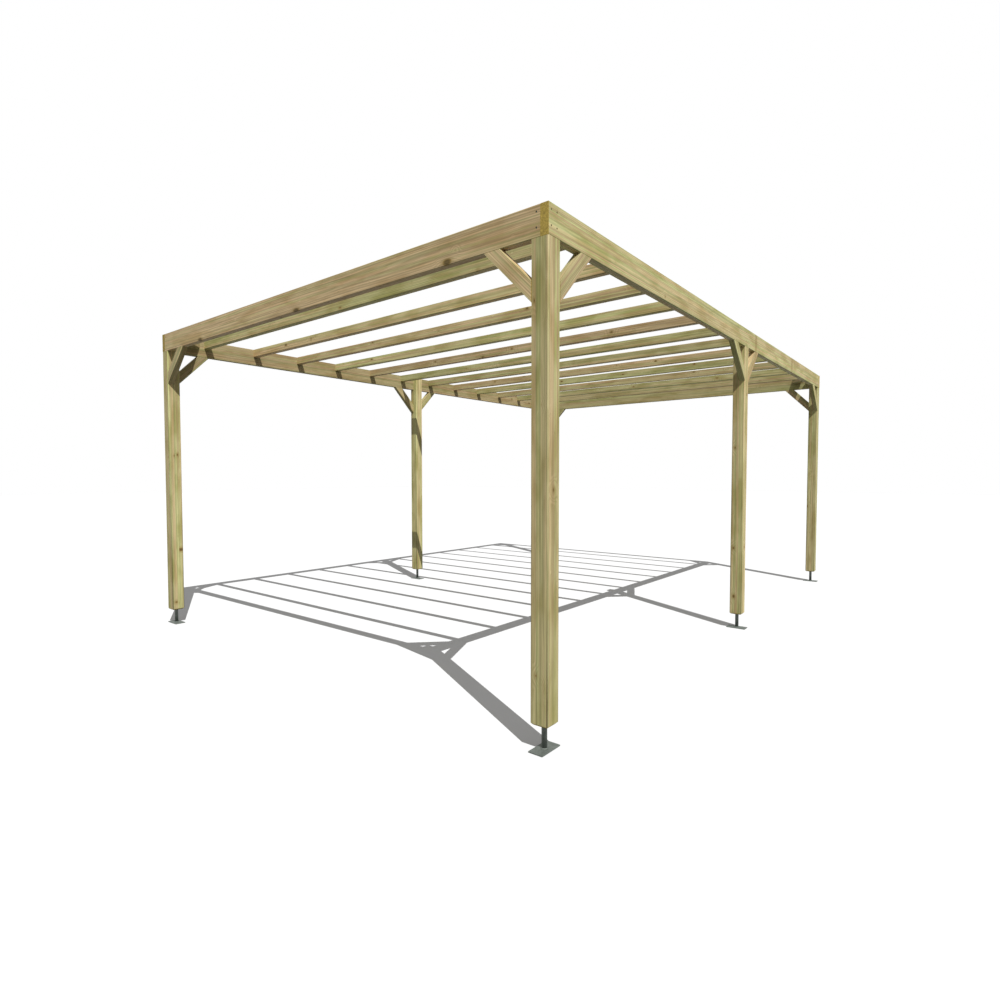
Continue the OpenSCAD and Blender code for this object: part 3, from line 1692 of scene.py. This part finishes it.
@dataclass
class Pergola:
    """The whole frame, built timber by timber.

    Attributes:
        corner_in: Screws into an end beam's grain, from the corner.
        tongue_in: Screws into a post's tongue, from the corner.
        from_top: The two rows of screws, down from the beams' tops.
    """

    corner_in: float = 22 * MM
    tongue_in: float = 67 * MM
    post_pair: float = 22 * MM
    from_top: tuple[float, float] = (31 * MM, 101 * MM)
    yard: TimberYard = field(default_factory=TimberYard)
    fixings: Fixings = field(default_factory=Fixings)

    def _side_pockets(self, node: str, side: int) -> list[bpy.types.Mesh]:
        """Drills a side beam's outer face.

        Args:
            node: The side beam.
            side: 1 for the right and -1 for the left.

        Returns:
            The pockets to cut.
        """
        low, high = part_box(node)
        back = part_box("back_beam")[1].y
        face = high.x if side > 0 else low.x
        spots = [low.y + self.corner_in, low.y + self.tongue_in]
        spots += [-self.post_pair, self.post_pair, back - self.tongue_in]
        outward = Vector((side, 0, 0))
        return [
            self.fixings.drill(Vector((face, y, high.z - down)), outward)
            for y in spots
            for down in self.from_top
        ]

    def _end_pockets(self, node: str, side: int) -> list[bpy.types.Mesh]:
        """Drills an end beam's outer face.

        Args:
            node: The end beam.
            side: -1 for the front and 1 for the back.

        Returns:
            The pockets to cut.
        """
        low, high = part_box(node)
        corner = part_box("back_beam")[1].x
        face = high.y if side > 0 else low.y
        places = [self.tongue_in] if side < 0 else [self.corner_in, self.tongue_in]
        outward = Vector((0, side, 0))
        return [
            self.fixings.drill(Vector((x, face, high.z - down)), outward)
            for place in places
            for x in (place - corner, corner - place)
            for down in self.from_top
        ]

    def build(self, pine: bpy.types.Material, steel: bpy.types.Material) -> None:
        """Builds every piece.

        Args:
            pine: The timbers' finish.
            steel: The finish of the feet and screws.
        """
        Beam("front_beam", 0.95, 1.06).build(
            self.yard, pine, self._end_pockets("front_beam", -1)
        )
        Beam("right_beam", 0.25, 1.04).build(
            self.yard, pine, self._side_pockets("right_beam", 1)
        )
        Beam("left_beam", 0.75, 0.74).build(
            self.yard, pine, self._side_pockets("left_beam", -1)
        )
        Beam("back_beam", 0.35, 1.0).build(
            self.yard, pine, self._end_pockets("back_beam", 1)
        )
        for node, tan, tone in (
            ("front_right_post", 0.38, 1.0),
            ("front_left_post", 0.30, 1.07),
            ("middle_left_post", 0.30, 1.12),
            ("middle_right_post", 0.50, 1.16),
            ("back_right_post", 0.20, 1.0),
            ("back_left_post", 0.40, 1.0),
        ):
            Post(node, tan, tone).build(self.yard, pine)
        for node, tan, tone in (
            ("front_right_cross_brace", 0.95, 1.20),
            ("front_right_side_brace", 0.75, 0.84),
            ("front_left_cross_brace", 0.4, 0.9),
            # The front left side brace's low tone of 0.66 is painted shade: it darkens the whole
            # brace, though the lighting casts a shadow on only part of it.
            ("front_left_side_brace", 0.5, 0.66),
            ("middle_left_fore_brace", 0.5, 0.95),
            ("middle_left_aft_brace", 0.4, 1.0),
            ("middle_right_fore_brace", 0.2, 1.02),
            ("middle_right_aft_brace", 0.8, 1.0),
            ("back_right_cross_brace", 0.5, 0.95),
            ("back_right_side_brace", 0.4, 1.0),
            ("back_left_cross_brace", 0.3, 1.0),
            ("back_left_side_brace", 0.6, 1.0),
        ):
            Brace(node, tan, tone).build(self.yard, pine)
        RafterSet(
            (0.15, 0.8, 0.75, 0.2, 0.95, 0.2, 0.35, 0.85, 0.1, 0.75, 0.2, 0.6),
            (1.16, 1.24, 1.14, 1.27, 0.98, 1.08, 1.04, 1.08, 1.1, 1.06, 1.06, 1.06),
        ).build(self.yard, pine)
        for node, tan, tone in (
            ("front_left_corner_brace", 0.5, 1.0),
            ("front_right_corner_brace", 0.6, 0.95),
            ("back_left_corner_brace", 0.4, 1.0),
            ("back_right_corner_brace", 0.5, 1.0),
        ):
            CornerBrace(node, tan, tone).build(self.yard, pine)
        for row in ("front", "middle", "back"):
            for side in ("left", "right"):
                Foot(f"{row}_{side}_foot").build(steel)
        ScrewHeads().build(self.fixings, steel)


# --------------------------------------------------------------------------- stage


@dataclass
class Stage:
    """The floor, the light and the camera.

    Attributes:
        floor_size: Side of the square floor.
        floor_seen: Floor colour to the camera and in reflections.
        floor_bounce: Floor colour to diffuse light, so that undersides stay dark.
        sky: Strength of the soft sky light.
        sun: Strength of the sun lamp.
        sun_angle: Width of the sun's disc, which softens the shadows, in degrees.
        to_sun: Direction to the sun.
    """

    floor_size: float = 90.0
    floor_seen: float = 0.69
    floor_bounce: float = 0.10
    sky: float = 0.40
    sun: float = 4.42
    sun_angle: float = 0.12
    to_sun: tuple[float, float, float] = (0.648, -0.332, 1.0)
    eye: tuple[float, float, float] = (3.466, -5.111, 1.266)
    pitch_down: float = 2.243
    azimuth: float = 38.605
    lens: float = 21.39
    sensor: float = 36.0

    def _seen(self, tree: bpy.types.NodeTree) -> bpy.types.NodeSocket:
        """Adds a switch that is on for camera, glossy and transmission rays."""
        path = add_node(tree, "ShaderNodeLightPath").outputs
        either = add_node(
            tree,
            "ShaderNodeMath",
            {0: path["Is Camera Ray"], 1: path["Is Glossy Ray"]},
            operation="MAXIMUM",
        )
        return add_node(
            tree,
            "ShaderNodeMath",
            {0: either.outputs[0], 1: path["Is Transmission Ray"]},
            operation="MAXIMUM",
        ).outputs[0]

    def floor(self) -> None:
        """Lays a plain pale floor that keeps the object's shadow."""
        half = self.floor_size / 2
        mesh = bpy.data.meshes.new("floor")
        corners = [(-half, -half, 0), (half, -half, 0), (half, half, 0), (-half, half, 0)]
        mesh.from_pydata(corners, [], [(0, 1, 2, 3)])
        material, tree = new_material("pale matt floor")
        shades = []
        for value in (self.floor_bounce, self.floor_seen):
            shade = (value, value, value, 1.0)
            shades.append(add_node(tree, "ShaderNodeBsdfDiffuse", {"Color": shade}))
        mix = add_node(
            tree,
            "ShaderNodeMixShader",
            {0: self._seen(tree), 1: shades[0].outputs[0], 2: shades[1].outputs[0]},
        )
        add_node(tree, "ShaderNodeOutputMaterial", {"Surface": mix.outputs[0]})
        mesh.materials.append(material)
        show("floor", mesh)

    def light(self) -> None:
        """Sets a soft sky and one sun lamp."""
        world = bpy.data.worlds.new("studio")
        bpy.context.scene.world = world
        world.use_nodes = True
        tree = world.node_tree
        tree.nodes.clear()
        skies = []
        for strength in (self.sky, 1.0):
            skies.append(
                add_node(
                    tree,
                    "ShaderNodeBackground",
                    {"Color": (1.0, 1.0, 1.0, 1.0), "Strength": strength},
                )
            )
        mix = add_node(
            tree,
            "ShaderNodeMixShader",
            {0: self._seen(tree), 1: skies[0].outputs[0], 2: skies[1].outputs[0]},
        )
        add_node(tree, "ShaderNodeOutputWorld", {"Surface": mix.outputs[0]})
        lamp = bpy.data.lights.new("sun", "SUN")
        lamp.energy, lamp.angle = self.sun, math.radians(self.sun_angle)
        sun = bpy.data.objects.new("sun", lamp)
        sun.rotation_mode = "QUATERNION"
        sun.rotation_quaternion = Vector(self.to_sun).to_track_quat("Z", "Y")
        bpy.context.scene.collection.objects.link(sun)

    def camera(self) -> None:
        """Sets the camera outside the front right corner at eye level."""
        data = bpy.data.cameras.new("camera")
        data.lens, data.sensor_width = self.lens, self.sensor
        data.clip_end = 2 * self.floor_size
        camera = bpy.data.objects.new("camera", data)
        camera.location = self.eye
        camera.rotation_euler = (
            math.radians(90 - self.pitch_down),
            0,
            math.radians(self.azimuth),
        )
        bpy.context.scene.collection.objects.link(camera)
        bpy.context.scene.camera = camera

    def build(self) -> None:
        """Builds the floor, the light and the camera."""
        self.camera()
        self.floor()
        self.light()
        bpy.context.scene.view_settings.view_transform = "Standard"


def main() -> None:
    """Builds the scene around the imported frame."""
    logging.basicConfig(level=logging.INFO, format="%(name)s: %(message)s")
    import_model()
    Stage().build()
    pine = TreatedPine(knots=KNOTS).build()
    steel = CoatedSteel().build()
    Pergola().build(pine, steel)


if __name__ == "__main__":
    main()
